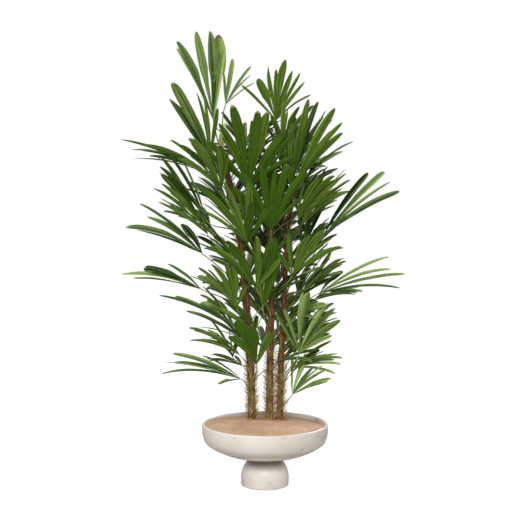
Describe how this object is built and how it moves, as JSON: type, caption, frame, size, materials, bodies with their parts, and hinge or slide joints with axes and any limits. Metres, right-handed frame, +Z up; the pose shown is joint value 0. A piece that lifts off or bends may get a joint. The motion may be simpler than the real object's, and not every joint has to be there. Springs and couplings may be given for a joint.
{
  "type": "potted lady palm",
  "caption": "Lady palm with fibrous cane stems and fans of ribbed leaflets, growing from sand in a wide, shallow bowl on a round pedestal.",
  "frame": {"origin": "middle of the pedestal's flat underside", "axes": "+Z up; -Y is the front, from which the tallest fan is up on the left and the widest gap between canes is left of the middle; +X is to the right seen from the front"},
  "size_m": [0.9678, 0.6828, 1.589],
  "materials": {
    "stone": "satin",
    "sand": "matte",
    "cane": "matte",
    "frond": "satin"
  },
  "bodies": {
    "root": {"pedestal": "stone", "bowl": "stone", "sand": "sand", "cane_left": "cane", "cane_middle": "cane", "cane_right": "cane", "frond_left_01": "frond", "frond_left_02": "frond", "frond_left_03": "frond", "frond_left_04": "frond", "frond_left_05": "frond", "frond_left_06": "frond", "frond_left_07": "frond", "frond_left_08": "frond", "frond_left_09": "frond", "frond_left_10": "frond", "frond_left_11": "frond", "frond_left_12": "frond", "frond_left_13": "frond", "frond_left_14": "frond", "frond_left_15": "frond", "frond_left_16": "frond", "frond_left_17": "frond", "frond_left_18": "frond", "frond_left_19": "frond", "frond_left_20": "frond", "frond_left_21": "frond", "frond_left_22": "frond", "frond_left_23": "frond", "frond_left_24": "frond", "frond_middle_25": "frond", "frond_middle_26": "frond", "frond_middle_27": "frond", "frond_middle_28": "frond", "frond_middle_29": "frond", "frond_middle_30": "frond", "frond_middle_31": "frond", "frond_middle_32": "frond", "frond_middle_33": "frond", "frond_middle_34": "frond", "frond_middle_35": "frond", "frond_middle_36": "frond", "frond_middle_37": "frond", "frond_right_38": "frond", "frond_right_39": "frond", "frond_right_40": "frond", "frond_right_41": "frond", "frond_right_42": "frond", "frond_right_43": "frond", "frond_right_44": "frond", "frond_right_45": "frond", "frond_right_46": "frond", "frond_right_47": "frond", "frond_right_48": "frond", "frond_right_49": "frond", "frond_right_50": "frond", "frond_right_51": "frond", "frond_right_52": "frond", "frond_right_53": "frond", "frond_right_54": "frond"}
  },
  "joints": []
}
